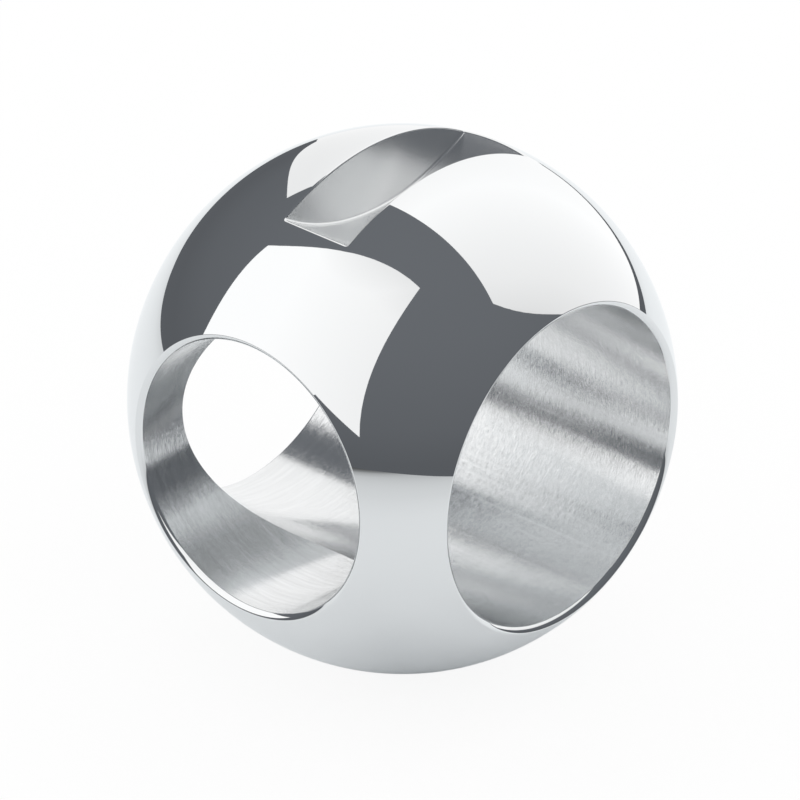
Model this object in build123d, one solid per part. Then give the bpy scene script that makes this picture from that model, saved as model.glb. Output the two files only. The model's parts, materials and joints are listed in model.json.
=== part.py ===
"""Three-way valve ball with a T-shaped flow path and a milled stem slot, in millimetres.

The ball is turned from one solid piece. A through bore runs along X and a side port
opens into it from -Y, so that the wall at +Y stays whole and shuts off that way.
The stem stands on +Z: its flat tang sits in the slot across the top and turns the ball.
The origin is the centre of the ball.
"""
from build123d import *
import os

# Driving dimensions
ball_diameter = 82.0
through_bore_diameter = 50.0
side_port_diameter = 43.0
port_chamfer_width = 0.95     # across the edge, so that the ports don't cut the seats
port_chamfer_depth = 0.7      # along the port's axis
slot_width = 12.4             # takes the stem's tang
slot_floor_wall = 4.5         # thinnest metal between the slot's floor and the through bore
slot_cutter_diameter = 75.0   # disc cutter that leaves the floor as an arc
slot_corner_radius = 0.4      # corner of the cutter, left along both sides of the floor
slot_chamfer = 0.3            # deburrs the slot where it meets the ball

# Dependent dimensions
ball_radius = ball_diameter / 2
through_bore_radius = through_bore_diameter / 2
side_port_radius = side_port_diameter / 2
cutter_radius = slot_cutter_diameter / 2
slot_floor_height = through_bore_radius + slot_floor_wall
cutter_centre_height = slot_floor_height + cutter_radius


def port_edge(port_radius):
    """The chamfered edge of a port, drawn beside the port's axis, which is the profile's Y.

    It runs from the port's wall out to the sphere.
    """
    rim_radius = port_radius + port_chamfer_width
    rim_height = (ball_radius ** 2 - rim_radius ** 2) ** 0.5
    return Line((port_radius, rim_height - port_chamfer_depth), (rim_radius, rim_height))


def turned_ball():
    """The ball as it is turned about the through bore, with the bore and both its edges."""
    upper_edge = port_edge(through_bore_radius)
    lower_edge = mirror(upper_edge, Plane.XZ)
    sphere_line = ThreePointArc(upper_edge @ 1, (ball_radius, 0), lower_edge @ 1)
    wall_line = Line(lower_edge @ 0, upper_edge @ 0)
    profile = make_face([upper_edge, sphere_line, lower_edge, wall_line])
    return Rot(0, 0, -90) * revolve(profile, Axis.Y)


def side_port_cutter():
    """What is bored out for the side port, from the through bore out past its edge at -Y."""
    edge = port_edge(side_port_radius)
    clear_of_ball = (edge @ 1) * 2
    outline = Polyline(
        edge @ 0,
        edge @ 1,
        clear_of_ball,
        (0, clear_of_ball.Y),
        (0, 0),
        (side_port_radius, 0),
        close=True,
    )
    return Rot(0, 0, 180) * revolve(make_face(outline), Axis.Y)


def stem_slot_cutter():
    """The disc cutter at full depth: its rim leaves the slot's floor, its faces the walls."""
    disc = Cylinder(cutter_radius, slot_width)
    disc = fillet(disc.edges().filter_by(GeomType.CIRCLE), slot_corner_radius)
    return Pos(0, 0, cutter_centre_height) * Rot(0, 90, 0) * disc


def cut_stem_slot(ball):
    """Mills the slot across the top and chamfers the edges that it leaves on the sphere."""
    slotted = ball - stem_slot_cutter()
    sphere_face = slotted.faces().filter_by(GeomType.SPHERE).sort_by(SortBy.AREA)[-1]
    rim = [edge for edge in sphere_face.edges() if edge.center().Z > slot_floor_height]
    return chamfer(rim, slot_chamfer)


valve_ball = cut_stem_slot(turned_ball() - side_port_cutter())

os.makedirs("parts", exist_ok=True)
export_step(valve_ball, "parts/valve_ball.step")
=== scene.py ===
"""The looks of the three-way valve ball: its polished sphere, its bores and slot, and the studio."""
import json
import math

import bpy
import numpy as np
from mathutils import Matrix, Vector
from mathutils.geometry import delaunay_2d_cdt


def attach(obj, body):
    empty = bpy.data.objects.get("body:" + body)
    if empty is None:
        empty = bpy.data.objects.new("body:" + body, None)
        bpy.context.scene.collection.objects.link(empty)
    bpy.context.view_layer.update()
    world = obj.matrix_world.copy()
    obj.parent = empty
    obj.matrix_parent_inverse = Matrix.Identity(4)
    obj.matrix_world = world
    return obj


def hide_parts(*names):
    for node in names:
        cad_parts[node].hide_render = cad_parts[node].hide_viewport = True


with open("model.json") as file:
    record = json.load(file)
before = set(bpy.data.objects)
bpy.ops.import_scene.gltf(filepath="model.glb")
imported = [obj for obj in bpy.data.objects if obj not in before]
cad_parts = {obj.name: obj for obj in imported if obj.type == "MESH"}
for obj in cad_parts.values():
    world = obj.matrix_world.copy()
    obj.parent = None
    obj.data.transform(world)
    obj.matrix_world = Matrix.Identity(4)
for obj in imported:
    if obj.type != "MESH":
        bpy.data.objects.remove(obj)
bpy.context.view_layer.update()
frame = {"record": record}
mounts = {mount["name"]: mount for mount in frame["record"]["mounts"]}


# The edges of the ports
# The ball is one piece of steel, turned, bored and milled, and then polished over. Each port has a
# chamfer round its edge. Polishing has crowned it and rounded it into the bore and the sphere.

BALL_RADIUS = mounts["seat_sphere"]["pos_m"][1]
THROUGH_RADIUS = mounts["through_port"]["dims"]["r_mm"] / 1000
SIDE_RADIUS = mounts["side_port"]["dims"]["r_mm"] / 1000
BORE_CORNER = 0.0003                # radius from the bore's wall into the chamfer
CHAMFER_CROWN = 0.00191             # radius of the crowned chamfer
SPHERE_CORNER = 0.0002              # radius from the chamfer into the sphere
CHAMFER_STEEP = math.radians(50)    # the chamfer's normal from the port's axis, beside the bore
CHAMFER_FLAT = math.radians(22)     # and beside the sphere
EDGE_STEPS = 5                      # in each of the edge's three arcs
RING_STEPS = 360                    # round a port
RING_TURNS = np.arange(RING_STEPS) * 2 * math.pi / RING_STEPS
MERGE_GRID = 1e7                    # steps to the metre: points that round to one place are joined


class Surface:
    """Corners, their exact normals and the faces between them, gathered patch by patch."""

    def __init__(self):
        self.points, self.normals, self.faces, self.finishes = [], [], [], []

    def add(self, points, normals, faces, finish):
        """Adds one patch. Each of its faces is a tuple of places in its own points."""
        start = sum(len(block) for block in self.points)
        self.points.append(np.asarray(points, float).reshape(-1, 3))
        self.normals.append(np.asarray(normals, float).reshape(-1, 3))
        self.faces += [tuple(start + corner for corner in face) for face in faces]
        self.finishes += [finish] * len(faces)

    def add_grid(self, points, normals, finish, closed=False):
        """Adds rows of points as a net of quads. A closed net joins its last column to its first."""
        rows, columns = points.shape[:2]
        faces = []
        for row in range(rows - 1):
            for column in range(columns if closed else columns - 1):
                beside = (column + 1) % columns
                faces.append((
                    row * columns + column,
                    row * columns + beside,
                    (row + 1) * columns + beside,
                    (row + 1) * columns + column,
                ))
        self.add(points, normals, faces, finish)

    def build(self, name, materials):
        """Joins the patches into one closed mesh with the gathered normals."""
        points = np.vstack(self.points)
        normals = np.vstack(self.normals)
        normals /= np.linalg.norm(normals, axis=1, keepdims=True)
        on_grid = np.round(points * MERGE_GRID).astype(np.int64)
        _, first, shared = np.unique(on_grid, axis=0, return_index=True, return_inverse=True)
        shared = shared.reshape(-1)
        faces, corner_normals, finishes = [], [], []
        for face, finish in zip(self.faces, self.finishes):
            corners = []
            for corner in face:
                if shared[corner] not in [shared[other] for other in corners]:
                    corners.append(corner)
            if len(corners) < 3:
                continue
            placed = points[corners]
            facing = np.zeros(3)
            for step in range(1, len(corners) - 1):
                facing += np.cross(placed[step] - placed[0], placed[step + 1] - placed[0])
            if facing @ normals[corners].sum(axis=0) < 0:
                corners.reverse()
            faces.append([int(shared[corner]) for corner in corners])
            corner_normals += [normals[corner] for corner in corners]
            finishes.append(finish)
        mesh = bpy.data.meshes.new(name)
        mesh.from_pydata(points[first].tolist(), [], faces)
        for material in materials:
            mesh.materials.append(material)
        mesh.polygons.foreach_set("material_index", finishes)
        mesh.polygons.foreach_set("use_smooth", [True] * len(faces))
        mesh.normals_split_custom_set([normal.tolist() for normal in corner_normals])
        piece = bpy.data.objects.new(name, mesh)
        bpy.context.scene.collection.objects.link(piece)
        return piece


def port_edge(radius):
    """The polished edge of a port as (distance from the port's axis, height along it), with normals.

    It runs from the bore's wall to the sphere in three arcs, each between two leans of the
    normal, which is square to the port's axis at the wall and leans back on the sphere.
    """
    centre_reach = radius + BORE_CORNER * (1 - math.sin(CHAMFER_STEEP))
    centre_reach += CHAMFER_CROWN * (math.sin(CHAMFER_STEEP) - math.sin(CHAMFER_FLAT))
    centre_reach += SPHERE_CORNER * math.sin(CHAMFER_FLAT)
    # The last arc touches the sphere from inside, so its centre lies its own radius below it
    on_sphere = -math.asin(centre_reach / (BALL_RADIUS - SPHERE_CORNER))
    arcs = [
        (BORE_CORNER, math.pi / 2, CHAMFER_STEEP),
        (CHAMFER_CROWN, CHAMFER_STEEP, CHAMFER_FLAT),
        (SPHERE_CORNER, CHAMFER_FLAT, on_sphere),
    ]
    corner = np.array([radius, 0.0])
    points, leans = [corner], [math.pi / 2]
    for arc, before, after in arcs:
        for lean in np.linspace(before, after, EDGE_STEPS + 1)[1:]:
            turned = np.array([math.sin(before) - math.sin(lean), math.cos(lean) - math.cos(before)])
            points.append(corner + arc * turned)
            leans.append(lean)
        corner = points[-1]
    points = np.array(points)
    # The whole edge moves along the axis until it ends on the sphere
    points[:, 1] += BALL_RADIUS * math.cos(on_sphere) - points[-1, 1]
    return points, np.column_stack([-np.sin(leans), np.cos(leans)])


def along_x(profile, sign):
    """Turns a port's profile about X, at that end of the ball: rows of the profile, columns round."""
    distance, height = profile[:, :1], profile[:, 1:]
    return np.stack(np.broadcast_arrays(
        sign * height, -distance * np.cos(RING_TURNS), distance * np.sin(RING_TURNS)
    ), axis=-1)


def along_minus_y(profile):
    """Turns a port's profile about Y, on the side of -Y."""
    distance, height = profile[:, :1], profile[:, 1:]
    return np.stack(np.broadcast_arrays(
        distance * np.cos(RING_TURNS), -height, distance * np.sin(RING_TURNS)
    ), axis=-1)


# The finishes, by their places in the ball's list of materials
SPHERE, THROUGH_BORE, SIDE_BORE, SLOT = range(4)
surface = Surface()
through_edge, through_edge_normals = port_edge(THROUGH_RADIUS)
side_edge, side_edge_normals = port_edge(SIDE_RADIUS)
near_edge = along_x(through_edge, 1)
far_edge = along_x(through_edge, -1)
branch_edge = along_minus_y(side_edge)
surface.add_grid(near_edge, along_x(through_edge_normals, 1), SPHERE, closed=True)
surface.add_grid(far_edge, along_x(through_edge_normals, -1), SPHERE, closed=True)
surface.add_grid(branch_edge, along_minus_y(side_edge_normals), SPHERE, closed=True)


# The two bores
# Both are bored in the solid ball. The side bore opens into the through bore along a saddle line,
# which both walls share.

SIDE_ROWS = 8               # of faces from the saddle line to the side port's edge
THROUGH_ROWS = 14           # along the through bore
THROUGH_TURN_STEPS = 240    # round the through bore
MAP_SQUEEZE = 0.25          # along the bore, where the wall is straight and its faces may be long
SADDLE_CLEAR = 1.02         # side port radii that the wall's own points stay off that port's axis
INSIDE_OUTLINES = 1         # makes delaunay_2d_cdt keep only what is inside the outlines
SAME_PLACE = 1e-9           # points of a flat map that are closer than this are one


def fill(outlines, inner_points):
    """Triangles between the first outline, the ones inside it, which stay open, and the points.

    A triangle's corners are places in the outlines and then the points, one after another.
    """
    rings, start = [], 0
    for outline in outlines:
        ring = list(range(start, start + len(outline)))
        doubled_area = (outline[:, 0] * np.roll(outline[:, 1], -1)).sum()
        doubled_area -= (outline[:, 1] * np.roll(outline[:, 0], -1)).sum()
        rings.append(ring if doubled_area > 0 else ring[::-1])
        start += len(outline)
    points = [Vector(point) for point in np.vstack([*outlines, inner_points])]
    _, _, faces, origins, _, owners = delaunay_2d_cdt(
        points, [], rings, INSIDE_OUTLINES, SAME_PLACE
    )
    return [
        tuple(origins[corner][0] for corner in face)
        for face, owner in zip(faces, owners) if owner == [0]
    ]


saddle = np.column_stack([
    SIDE_RADIUS * np.cos(RING_TURNS),
    -np.sqrt(THROUGH_RADIUS ** 2 - (SIDE_RADIUS * np.sin(RING_TURNS)) ** 2),
    SIDE_RADIUS * np.sin(RING_TURNS),
])
outward = np.linspace(0, 1, SIDE_ROWS + 1)[:, None, None]
side_wall = saddle * (1 - outward) + branch_edge[0] * outward
side_wall_normals = np.broadcast_to(branch_edge[0] * (-1, 0, -1), side_wall.shape)
surface.add_grid(side_wall, side_wall_normals, SIDE_BORE, closed=True)

# The through bore's wall is laid out flat, as its turn about X and its place along X
turn_limits = np.linspace(-math.pi, math.pi, RING_STEPS + 1)
wall_end = through_edge[0, 1]
wall_outline = np.vstack([
    np.column_stack([turn_limits, np.full(RING_STEPS + 1, -wall_end)]),
    np.column_stack([turn_limits[::-1], np.full(RING_STEPS + 1, wall_end)]),
])
saddle_flat = np.column_stack([np.arcsin(saddle[:, 2] / THROUGH_RADIUS), saddle[:, 0]])
inner_turns, inner_places = np.meshgrid(
    np.linspace(-math.pi, math.pi, THROUGH_TURN_STEPS, endpoint=False)[1:],
    np.linspace(-wall_end, wall_end, THROUGH_ROWS + 1)[1:-1],
)
wall_points = np.column_stack([inner_turns.ravel(), inner_places.ravel()])
saddle_reach = np.hypot(THROUGH_RADIUS * np.sin(wall_points[:, 0]), wall_points[:, 1]) / SIDE_RADIUS
off_saddle = (np.abs(wall_points[:, 0]) > math.pi / 2) | (saddle_reach > SADDLE_CLEAR)
wall_points = wall_points[off_saddle]
turn, place = np.vstack([wall_outline, saddle_flat, wall_points]).T
wall = np.column_stack([place, -THROUGH_RADIUS * np.cos(turn), THROUGH_RADIUS * np.sin(turn)])
map_scale = (THROUGH_RADIUS, MAP_SQUEEZE)
wall_faces = fill([wall_outline * map_scale, saddle_flat * map_scale], wall_points * map_scale)
surface.add(wall, wall * (0, -1, -1), wall_faces, THROUGH_BORE)


# The stem slot
# A disc cutter is sunk into the top of the ball and leaves straight sides and a floor that is an
# arc. Its worn corner leaves a small radius along the floor, and the slot's rim is deburred.

FLOOR_HEIGHT = mounts["stem_slot"]["pos_m"][2]
CUTTER_RADIUS = 0.0375
CUTTER_HEIGHT = FLOOR_HEIGHT + CUTTER_RADIUS
CUTTER_CORNER = 0.0004      # radius along both sides of the floor
SLOT_HALF_WIDTH = 0.0062
FLOOR_HALF_WIDTH = SLOT_HALF_WIDTH - CUTTER_CORNER
RIM_BREAK = 0.00035         # how far the rim is broken down the wall and out over the sphere
SLOT_STEPS = 150            # along the slot
FLOOR_STEPS = 20            # across its floor
CORNER_STEPS = 6            # in each corner of the floor
SIDE_STEPS = 3              # up each side
RIM_STEPS = 4               # over the broken rim


def cutter_end(offset, sphere_radius):
    """The slot's cross-section moved outward by an offset, and the angle where it meets a sphere."""
    corner = np.linspace(0, math.pi / 2, CORNER_STEPS + 1)
    corner_x = FLOOR_HALF_WIDTH + (CUTTER_CORNER + offset) * np.cos(corner)
    corner_depth = CUTTER_RADIUS - CUTTER_CORNER + (CUTTER_CORNER + offset) * np.sin(corner)
    floor_x = np.linspace(1, -1, FLOOR_STEPS + 1)[1:-1] * FLOOR_HALF_WIDTH
    floor_depth = np.full(floor_x.shape, CUTTER_RADIUS + offset)
    x = np.concatenate([corner_x, floor_x, -corner_x[::-1]])
    depth = np.concatenate([corner_depth, floor_depth, corner_depth[::-1]])
    reach = np.arccos(
        (x ** 2 + depth ** 2 + CUTTER_HEIGHT ** 2 - sphere_radius ** 2) / (2 * depth * CUTTER_HEIGHT)
    )
    return x, depth, reach


def on_cutter(x, depth, angle):
    """Points at that depth from the cutter's axis, at an angle from straight down."""
    return np.stack(np.broadcast_arrays(
        x, depth * np.sin(angle), CUTTER_HEIGHT - depth * np.cos(angle)
    ), axis=-1)


def slot_rim(offset, sphere_radius):
    """The closed line where the slot, moved outward by an offset, meets a sphere."""
    x, depth, reach = cutter_end(offset, sphere_radius)
    far_end = on_cutter(x, depth, reach)
    side_y = far_end[0, 1] * np.linspace(-1, 1, SLOT_STEPS + 1)[1:-1]
    side_z = np.sqrt(sphere_radius ** 2 - x[0] ** 2 - side_y ** 2)
    side = np.column_stack([np.full(side_y.shape, x[0]), side_y, side_z])
    return np.vstack([side, far_end, side[::-1] * (-1, 1, 1), far_end[::-1] * (1, -1, 1)])


slot_x, slot_depth, slot_reach = cutter_end(0, BALL_RADIUS - RIM_BREAK)
sweep = np.linspace(-1, 1, SLOT_STEPS + 1)[:, None] * slot_reach
slot_floor = on_cutter(slot_x, slot_depth, sweep)
corner_centre_x = np.clip(slot_x, -FLOOR_HALF_WIDTH, FLOOR_HALF_WIDTH)
floor_normals = on_cutter(corner_centre_x, CUTTER_RADIUS - CUTTER_CORNER, sweep) - slot_floor
surface.add_grid(slot_floor, floor_normals, SLOT)

inner_rim = slot_rim(0, BALL_RADIUS - RIM_BREAK)
outer_rim = slot_rim(RIM_BREAK, BALL_RADIUS)
sharp_rim = slot_rim(0, BALL_RADIUS)
for side in (1, -1):
    low = slot_floor[:, 0] * (side, 1, 1)
    high = low.copy()
    high[1:-1] = inner_rim[:SLOT_STEPS - 1] * (side, 1, 1)
    rise = np.linspace(0, 1, SIDE_STEPS + 1)[:, None, None]
    side_face = low * (1 - rise) + high * rise
    surface.add_grid(side_face, np.broadcast_to((-side, 0.0, 0.0), side_face.shape), SLOT)

# The broken rim curves from the slot to the sphere, drawn toward the sharp rim between them
over = np.linspace(0, 1, RIM_STEPS + 1)[:, None, None]
rim = (1 - over) ** 2 * inner_rim + 2 * over * (1 - over) * sharp_rim + over ** 2 * outer_rim
rim_slope = (1 - over) * (sharp_rim - inner_rim) + over * (outer_rim - sharp_rim)
rim_run = np.roll(rim, -1, axis=1) - np.roll(rim, 1, axis=1)
rim_normals = np.cross(rim_slope, rim_run)
rim_normals *= np.sign((rim_normals[-1:] * outer_rim).sum(axis=-1, keepdims=True))
surface.add_grid(rim, rim_normals, SPHERE, closed=True)


# The sphere
# What is left of the turned and polished sphere between the mouths of the ports and the slot. Its
# net is laid out in the flat map of the sphere that is seen from the far end of the through bore.

SPHERE_SPACING = 0.00095                # between neighbouring points
CELL_SHARE = 0.87                       # area round a point, in squares of the spacing
EDGE_GAP = 0.6 * SPHERE_SPACING         # how far the points stay off the edges
GOLDEN_SWING = math.pi * (1 + math.sqrt(5))     # turn about Z from each point to the next


def to_map(points):
    """Points on the sphere in a flat map that keeps the shape of every small triangle."""
    return points[:, 1:] / (BALL_RADIUS + points[:, :1])


count = int(4 * math.pi * BALL_RADIUS ** 2 / (CELL_SHARE * SPHERE_SPACING ** 2))
order = np.arange(count) + 0.5
height = 1 - 2 * order / count
swing = GOLDEN_SWING * order
lattice = BALL_RADIUS * np.column_stack([
    np.sqrt(1 - height ** 2) * np.cos(swing), np.sqrt(1 - height ** 2) * np.sin(swing), height
])
# Two more points give the ball its full reach behind and below
lattice = np.vstack([lattice, [(0, BALL_RADIUS, 0), (0, 0, -BALL_RADIUS)]])
from_through = np.hypot(lattice[:, 1], lattice[:, 2])
from_side = np.hypot(lattice[:, 0], lattice[:, 2])
from_cutter = np.hypot(lattice[:, 1], lattice[:, 2] - CUTTER_HEIGHT)
off_through = from_through > through_edge[-1, 0] + EDGE_GAP
off_side = (lattice[:, 1] > 0) | (from_side > side_edge[-1, 0] + EDGE_GAP)
off_slot = (np.abs(lattice[:, 0]) > SLOT_HALF_WIDTH + RIM_BREAK + EDGE_GAP) | (
    from_cutter > CUTTER_RADIUS + RIM_BREAK + EDGE_GAP
)
lattice = lattice[off_through & off_side & off_slot]
borders = [far_edge[-1], near_edge[-1], branch_edge[-1], outer_rim]
sphere = np.vstack([*borders, lattice])
sphere_faces = fill([to_map(border) for border in borders], to_map(lattice))
surface.add(sphere, sphere, sphere_faces, SPHERE)


# The finish of the metal
# One steel, finished in three ways: the sphere and the edges are buffed to a mirror, the bores keep
# the fine grooves of the boring tool round their axes, and the milled slot is duller.

STEEL_TINT = 0.4    # share of the record's tint that the metal shows, the rest is grey
RECORD_STEEL = frame["record"]["materials"][0]["base_color"]
STEEL_GREY = sum(RECORD_STEEL) / 3
STEEL = [STEEL_TINT * part + (1 - STEEL_TINT) * STEEL_GREY for part in RECORD_STEEL]

GROOVES, GROOVE_LENGTHS = 70000.0, 1100.0       # to the metre along the bore and round it
STREAKS, STREAK_LENGTHS = 1600, 120             # bands of grooves that are darker or lighter
PATCHES, PATCH_LENGTHS = 300, 90                # where the turning is smoother or rougher
GROOVE_LEAN, WAVE_LEAN = 1.0, 0.04              # of the normal along the bore and across it
BORE_SMOOTHEST, BORE_SPREAD = 0.1, 0.08         # roughness, and how far the patches raise it

# The sockets that a Mix node has for colours
MIX_AMOUNT, MIX_FIRST, MIX_SECOND, MIX_RESULT = 0, 6, 7, 2


class Wire:
    """One output of a shader node. Arithmetic on it adds Math nodes."""

    def __init__(self, graph, socket):
        self.graph, self.socket = graph, socket

    def math(self, operation, *values):
        return self.graph.node("ShaderNodeMath", {"operation": operation}, dict(enumerate(values)))

    def __add__(self, other):
        return self.math("ADD", self, other)

    def __rsub__(self, other):
        return self.math("SUBTRACT", other, self)

    def __mul__(self, other):
        return self.math("MULTIPLY", self, other)

    __radd__, __rmul__ = __add__, __mul__


class Finish:
    """A material whose nodes are made one by one."""

    def __init__(self, name, tree=None):
        self.material = None
        if tree is None:
            self.material = bpy.data.materials.new(name)
            self.material.use_nodes = True
            tree = self.material.node_tree
        self.tree = tree
        self.tree.nodes.clear()

    def node(self, kind, settings=None, inputs=None, output=0):
        """Adds a node: its settings first, then the values or links of its sockets."""
        node = self.tree.nodes.new(kind)
        for name, value in (settings or {}).items():
            if name == "stops":
                node.color_ramp.elements.remove(node.color_ramp.elements[1])
                (position, color), *others = value
                node.color_ramp.elements[0].position = position
                node.color_ramp.elements[0].color = color
                for position, color in others:
                    node.color_ramp.elements.new(position).color = color
            else:
                setattr(node, name, value)
        for name, value in (inputs or {}).items():
            if isinstance(value, Wire):
                self.tree.links.new(value.socket, node.inputs[name])
            else:
                node.inputs[name].default_value = value
        return Wire(self, node.outputs[output] if node.outputs else None)

    def vector(self, operation, *values, output=0):
        """Vector Math on vectors or colours."""
        settings = {"operation": operation}
        return self.node("ShaderNodeVectorMath", settings, dict(enumerate(values)), output)

    def place(self):
        """The place in the shared frame, in metres from the ball's centre."""
        return self.node("ShaderNodeTexCoord", output="Object")

    def along(self, direction):
        """How far the place lies in a direction."""
        return self.vector("DOT_PRODUCT", self.place(), direction, output="Value")

    def noise(self, scale, detail, output="Fac"):
        """Soft random spots, so many to the metre along each axis, with finer ones in them."""
        spots = self.vector("MULTIPLY", self.place(), scale)
        return self.node(
            "ShaderNodeTexNoise", {}, {"Vector": spots, "Scale": 1.0, "Detail": detail}, output
        )

    def ramp(self, value, stops):
        """A grey that follows a value through stops of (value from 0 to 1, brightness)."""
        greys = [(position, (grey, grey, grey, 1)) for position, grey in stops]
        return self.node("ShaderNodeValToRGB", {"stops": greys}, {"Fac": value}, "Color")

    def tilted(self, marks, lean):
        """The normal, leant over by tool marks: how far along each axis."""
        # The marks vary about a half on each axis
        uneven = self.vector("SUBTRACT", marks, (0.5, 0.5, 0.5))
        straight = self.node("ShaderNodeNewGeometry", output="Normal")
        leaning = self.vector("MULTIPLY", uneven, lean)
        return self.vector("NORMALIZE", self.vector("ADD", straight, leaning))

    def mixed(self, amount, first, second, blend="MIX"):
        """A colour between two others."""
        settings = {"data_type": "RGBA", "blend_type": blend}
        inputs = {MIX_AMOUNT: amount, MIX_FIRST: first, MIX_SECOND: second}
        return self.node("ShaderNodeMix", settings, inputs, MIX_RESULT)

    def product(self, first, second):
        """A colour made darker or tinted by another: the two multiplied."""
        return self.mixed(1.0, first, second, "MULTIPLY")

    def glow(self, color, strength):
        """Light that comes from the surface itself."""
        return self.node("ShaderNodeEmission", {}, {"Color": color, "Strength": strength})

    def done(self, shader, output="ShaderNodeOutputMaterial"):
        """Joins the shader to the output, and gives the material back."""
        self.node(output, {}, {"Surface": shader})
        return self.material

    def metal(self, color, roughness, **inputs):
        """The material of bare metal."""
        shader = self.node("ShaderNodeBsdfPrincipled", {}, {
            "Base Color": color, "Metallic": 1.0, "Roughness": roughness, **inputs
        })
        return self.done(shader)


def spotted_steel(name, spots, detail, smoothest, spread):
    """Steel with a roughness that rises in soft spots, so many to the metre."""
    finish = Finish(name)
    return finish.metal((*STEEL, 1), smoothest + spread * finish.noise((spots,) * 3, detail))


def in_bore(axis, along, across):
    """A value for the bore's own axis and one for the two axes across it, in the order X, Y, Z."""
    return tuple(along if other == axis else across for other in range(3))


def turned_steel(name, axis, brightness, darkest):
    """The steel of a bore along an axis (0 is X, 1 is Y), with grooves round that axis."""
    finish = Finish(name)
    grooves = finish.noise(in_bore(axis, GROOVES, GROOVE_LENGTHS), detail=1.0, output="Color")
    patches = finish.noise(in_bore(axis, PATCHES, PATCH_LENGTHS), detail=3.0)
    streaks = finish.noise(in_bore(axis, STREAKS, STREAK_LENGTHS), detail=3.0)
    shade = finish.ramp(streaks, [(0.35, darkest), (0.65, 1.0)])
    return finish.metal(
        finish.product(shade, (*[brightness * part for part in STEEL], 1)),
        BORE_SMOOTHEST + BORE_SPREAD * patches,
        Normal=finish.tilted(grooves, in_bore(axis, GROOVE_LEAN, WAVE_LEAN)),
    )


polished_steel = spotted_steel("buffed_sphere", spots=420, detail=3.0, smoothest=0.008, spread=0.02)
through_steel = turned_steel("turned_through_bore", axis=0, brightness=1.02, darkest=0.96)
side_steel = turned_steel("turned_side_bore", axis=1, brightness=1.0, darkest=0.91)
slot_steel = spotted_steel("milled_slot", spots=900, detail=2.0, smoothest=0.18, spread=0.04)

# In the order of SPHERE, THROUGH_BORE, SIDE_BORE and SLOT
ball = surface.build("valve_ball_finished", [polished_steel, through_steel, side_steel, slot_steel])
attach(ball, "root")
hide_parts("valve_ball")


# The table
# A white table under the ball, and the pale floor that the camera sees all round it. The table
# reaches far to the front, and its back edge is straight and square to the camera's view. Only the
# table shows in the metal: past its edge the metal sees the dark room.

TABLE_BACK, TABLE_SIDE, TABLE_FRONT = 0.358, 0.43, 1.7      # its reach from the ball's centre
FRONT_NARROWS = 7.5         # how fast the table's reach falls from its front to its sides
BACK_EDGE_SQUARE_TO = 41.0  # the camera's side, in degrees from -Y toward +X
LEAST_BACKWARD = 0.1        # below this the back edge's line is too far off to matter
TABLE_TINT = (0.96, 0.985, 1, 1)
FLOOR_RADIUS = 12.0
FLOOR_DROP = 0.0002         # below the table
FLOOR_COLOR = (0.97, 0.97, 0.97, 1)
CAMERA_GLOW = 0.9           # share of both sheets' white that is glow, to the camera
SHEET_STEPS = 96
SHEET_TURNS = np.arange(SHEET_STEPS) * 2 * math.pi / SHEET_STEPS

# Painted light: a pool of light painted on the table, its brightness by the distance from its centre,
# in metres
PAINTED_POOL_CENTRE = (-0.05, 0.17, -BALL_RADIUS)
PAINTED_POOL_OF_LIGHT = [(0.1, 1.0), (0.2, 0.96), (0.31, 0.89), (0.4, 0.8), (0.8, 0.6)]
# Painted fall-off of that light: brightness by the share of the way to the table's front
PAINTED_FALL_OFF_TO_FRONT = [
    (0.29, 1.0), (0.36, 0.85), (0.41, 0.7), (0.465, 0.46), (0.575, 0.26), (0.675, 0.18), (1.0, 0.11)
]
# Glow on the table beside the ball, on its front left, which keeps the ball's shadow there pale
BESIDE_DIRECTION = (-1, -0.6, 0)
BESIDE_START, BESIDE_STRETCH = 0.1, 5.0     # from places in that direction to places in the ramp
BESIDE_GLOW = [
    (0.08, 0.0), (0.11, 0.11), (0.14, 0.2), (0.18, 0.33),
    (0.25, 0.38), (0.4, 0.15), (0.55, 0.05), (0.7, 0.0),
]


def staged(name, points, faces, material):
    """A piece of the studio, which isn't part of the ball."""
    mesh = bpy.data.meshes.new(name)
    mesh.from_pydata([tuple(point) for point in points], [], faces)
    mesh.materials.append(material)
    made = bpy.data.objects.new(name, mesh)
    bpy.context.scene.collection.objects.link(made)
    return made


def flat(name, reach, height, material):
    """A flat sheet round the ball, from how far it reaches at each turn from -Y toward +X."""
    edge = np.column_stack([
        reach * np.sin(SHEET_TURNS), -reach * np.cos(SHEET_TURNS), np.full(SHEET_STEPS, height)
    ])
    return staged(name, edge, [tuple(range(SHEET_STEPS))], material)


def pale(finish, color, glowing=0.0):
    """A matt sheet that may glow. To the camera it is plain white and mostly glow.

    So the camera sees a white ground on which the ball's shadow is soft.
    """
    to_camera = finish.node("ShaderNodeLightPath", output="Is Camera Ray")
    shade = finish.mixed(to_camera, color, (1, 1, 1, 1))
    matt = finish.node("ShaderNodeBsdfDiffuse", {}, {"Color": shade})
    amount = CAMERA_GLOW * to_camera + glowing * (1 - to_camera)
    return finish.done(finish.node(
        "ShaderNodeMixShader", {}, {0: amount, 1: matt, 2: finish.glow(shade, 1.0)}
    ))


table_white = Finish("table_white")
from_spot = table_white.vector("DISTANCE", table_white.place(), PAINTED_POOL_CENTRE, output="Value")
to_front = table_white.along((0, -1 / TABLE_FRONT, 0))
# Painted light: the pool of light and its fall-off toward the front, painted into the table's colour
painted_table_light = table_white.product(
    table_white.ramp(from_spot, PAINTED_POOL_OF_LIGHT), table_white.ramp(to_front, PAINTED_FALL_OFF_TO_FRONT)
)
beside_glow = table_white.ramp(
    BESIDE_START + BESIDE_STRETCH * table_white.along(BESIDE_DIRECTION), BESIDE_GLOW
)
table_material = pale(table_white, table_white.product(painted_table_light, TABLE_TINT), beside_glow)

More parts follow.
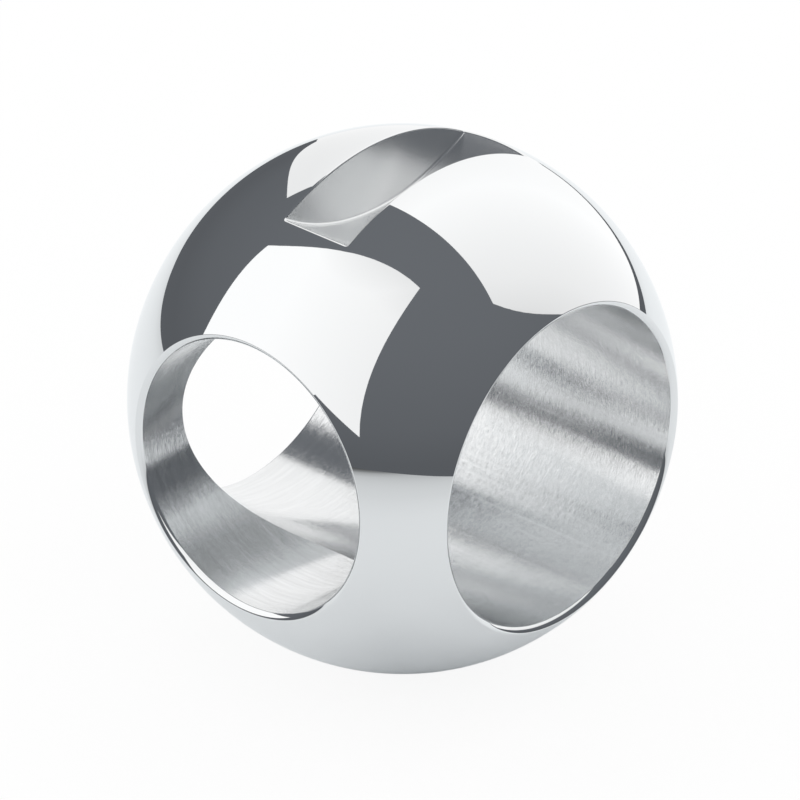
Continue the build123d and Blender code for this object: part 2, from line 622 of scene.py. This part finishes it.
frontward = (0.5 + 0.5 * np.cos(SHEET_TURNS)) ** FRONT_NARROWS
backward = -np.cos(SHEET_TURNS - math.radians(BACK_EDGE_SQUARE_TO))
table_reach = TABLE_SIDE + (TABLE_FRONT - TABLE_SIDE) * frontward
table_reach = np.minimum(table_reach, TABLE_BACK / np.maximum(backward, LEAST_BACKWARD))
flat("table", table_reach, -BALL_RADIUS, table_material)
floor_material = pale(Finish("floor_white"), FLOOR_COLOR)
wide_floor = flat("floor", FLOOR_RADIUS, -BALL_RADIUS - FLOOR_DROP, floor_material)
wide_floor.visible_glossy = False


# The panels and the room
# Two large white panels of lit cloth, one over the ball's front left and one behind it, and a dome
# of dark boards in place of the room. The boards glow dimly, brighter higher up, as painted light
# of the room. Only the metal sees any of them: the white world lights the table and the floor.

PANEL_DISTANCE = 1.2
ROOM_DISTANCE = 1.5
EDGE_PARTS = 12             # between two corners of a panel
BOW_PEAK = 27 / 4           # makes a bow as high as its own number at its highest
FRONT_STRENGTH, BACK_STRENGTH, ROOM_STRENGTH = 1.205, 1.19, 0.188
ROOM_LEVELS = [-30, -10, 10, 30, 50, 70]    # heights of the dome's rows, in degrees
ROOM_COLUMNS = 24
ROOM_TINT = (0.86, 0.915, 1, 1)
LIGHT_BOUNCES = 16          # so that light seen by way of both bores isn't lost


def seen_at(azimuth, elevation, distance):
    """The point seen from the ball in a direction: azimuth 0 is -Y and 90 is +X, in degrees."""
    turn, rise = math.radians(azimuth), math.radians(elevation)
    return distance * np.array([
        math.sin(turn) * math.cos(rise), -math.cos(turn) * math.cos(rise), math.sin(rise)
    ])


def edge_of_panel(start, end, bows):
    """Points along an edge between two corners, which two bows push sideways, in degrees.

    The first bow is highest at one third of the way, the second at two thirds.
    """
    first, last = seen_at(*start, 1), seen_at(*end, 1)
    sideways = np.cross(first, last)
    sideways /= np.linalg.norm(sideways)
    angle = math.acos(first @ last)
    points = []
    for step in np.arange(EDGE_PARTS) / EDGE_PARTS:
        straight = math.sin(angle * (1 - step)) * first + math.sin(angle * step) * last
        straight /= math.sin(angle)
        bow = BOW_PEAK * step * (1 - step) * (bows[0] * (1 - step) + bows[1] * step)
        turn = math.radians(bow)
        points.append(PANEL_DISTANCE * (math.cos(turn) * straight + math.sin(turn) * sideways))
    return points


def for_metal_only(piece):
    """Hides a piece from the camera and from matt surfaces, and lets the light past it."""
    piece.visible_camera = False
    piece.visible_diffuse = False
    piece.visible_shadow = False


def panel(name, corners, bows, middle, material):
    """A cloth panel: its corners and middle are directions from the ball, its edges are bowed."""
    points = [seen_at(*middle, PANEL_DISTANCE)]
    for start, end, bow in zip(corners, corners[1:] + corners[:1], bows):
        points += edge_of_panel(start, end, bow)
    last = len(points) - 1
    faces = [(0, corner, corner % last + 1) for corner in range(1, last + 1)]
    for_metal_only(staged(name, points, faces, material))


def across(finish):
    """The place along X on a panel: 0.5 is the ball's own, 0 and 1 lie a panel's distance from it."""
    return 0.5 + (0.5 / PANEL_DISTANCE) * finish.along((1, 0, 0))


def upward(finish, distance):
    """The height of what stands at that distance: 0 is level with the ball, 1 right over it."""
    return (1 / distance) * finish.along((0, 0, 1))


front_cloth = Finish("front_panel_light")
front_light = front_cloth.product(
    front_cloth.ramp(across(front_cloth), [(0.28, 1.0), (0.47, 0.945), (0.66, 0.89)]),
    front_cloth.ramp(upward(front_cloth, PANEL_DISTANCE), [(0.85, 1.0), (1.0, 0.87)]),
)
panel(
    "front_panel",
    [(-79.1, 38.8), (61.8, 73.4), (23.9, 11.0), (1.5, 23.3), (-14, 11), (-62.5, 11)],
    [(-2.1, 1.5), (-1.2, -3.2), (0, 0), (0, 0), (1.0, 1.0), (-1.2, 0)],
    (-25, 42),
    front_cloth.done(front_cloth.glow(front_light, FRONT_STRENGTH)),
)

back_cloth = Finish("back_panel_light")
back_light = back_cloth.ramp(
    across(back_cloth), [(0.12, 0.84), (0.4, 1.0), (0.7, 0.86), (0.8, 0.78), (0.88, 0.63)]
)
panel(
    "back_panel",
    [(109.9, 53.3), (-110.6, 35.6), (-104.4, 32), (-131, -5.5), (-134, -14), (-145, -14),
     (-149.5, -9.0), (-165, -6.3), (180, -4.1), (165, -1.8), (150, 15)],
    [(0.8, 3.7), (0, 0), (-0.5, 0)] + 7 * [(0, 0)] + [(0.1, 4.1)],
    (178, 35),
    back_cloth.done(back_cloth.glow(back_light, BACK_STRENGTH)),
)

room_points = [
    seen_at(360 * column / ROOM_COLUMNS, level, ROOM_DISTANCE)
    for level in ROOM_LEVELS for column in range(ROOM_COLUMNS)
]
overhead = len(room_points)
room_points.append((0, 0, ROOM_DISTANCE))
room_faces = []
for row_start in range(0, overhead, ROOM_COLUMNS):
    for column in range(ROOM_COLUMNS):
        here, beside = row_start + column, row_start + (column + 1) % ROOM_COLUMNS
        if row_start + ROOM_COLUMNS < overhead:
            room_faces.append((here, beside, beside + ROOM_COLUMNS, here + ROOM_COLUMNS))
        else:
            room_faces.append((here, beside, overhead))

boards = Finish("room_dark")
# Painted light: the boards' glow is dimmest at the ball's level and brightest overhead
room_painted_light = boards.ramp(
    upward(boards, ROOM_DISTANCE), [(0.0, 0.72), (0.25, 0.84), (0.7, 0.95), (1.0, 1.0)]
)
room_material = boards.done(boards.glow(boards.product(room_painted_light, ROOM_TINT), ROOM_STRENGTH))
for_metal_only(staged("room", room_points, room_faces, room_material))

world = bpy.data.worlds.new("white_room")
world.use_nodes = True
bpy.context.scene.world = world
air = Finish("air", world.node_tree)
white = air.node("ShaderNodeBackground", {}, {"Color": (1, 1, 1, 1), "Strength": 1.0})
air.done(white, "ShaderNodeOutputWorld")
bpy.context.scene.view_settings.view_transform = "Standard"
bpy.context.scene.cycles.max_bounces = LIGHT_BOUNCES
bpy.context.scene.cycles.glossy_bounces = LIGHT_BOUNCES


# The camera
# It looks down on the ball from its front right, from far off with a long lens. The ball's place
# and size in the picture are set in pixels.

CAMERA_AZIMUTH = 41.21
CAMERA_ELEVATION = 28.06
CAMERA_ROLL = 1.06
CAMERA_DISTANCE = 43.59 * BALL_RADIUS
PICTURE_SIZE = 800
BALL_RADIUS_IN_PICTURE = 275.5 / PICTURE_SIZE
BALL_CENTRE_IN_PICTURE = (402.5 / PICTURE_SIZE, 398.6 / PICTURE_SIZE)
FILM_WIDTH = 36             # millimetres
FARTHEST_SEEN = 100         # metres

lens = bpy.data.cameras.new("camera")
lens.sensor_width = FILM_WIDTH
# The ball's outline is where rays from the camera touch it, so many ball radii away
outline_distance = math.sqrt((CAMERA_DISTANCE / BALL_RADIUS) ** 2 - 1)
lens.lens = FILM_WIDTH * BALL_RADIUS_IN_PICTURE * outline_distance
lens.shift_x = 0.5 - BALL_CENTRE_IN_PICTURE[0]
lens.shift_y = BALL_CENTRE_IN_PICTURE[1] - 0.5
lens.clip_end = FARTHEST_SEEN
camera = bpy.data.objects.new("camera", lens)
bpy.context.scene.collection.objects.link(camera)
toward_camera = Vector(seen_at(CAMERA_AZIMUTH, CAMERA_ELEVATION, 1))
camera.location = toward_camera * CAMERA_DISTANCE
camera.rotation_euler = (-toward_camera).to_track_quat("-Z", "Y").to_euler()
camera.rotation_euler.rotate_axis("Z", math.radians(CAMERA_ROLL))
bpy.context.scene.camera = camera
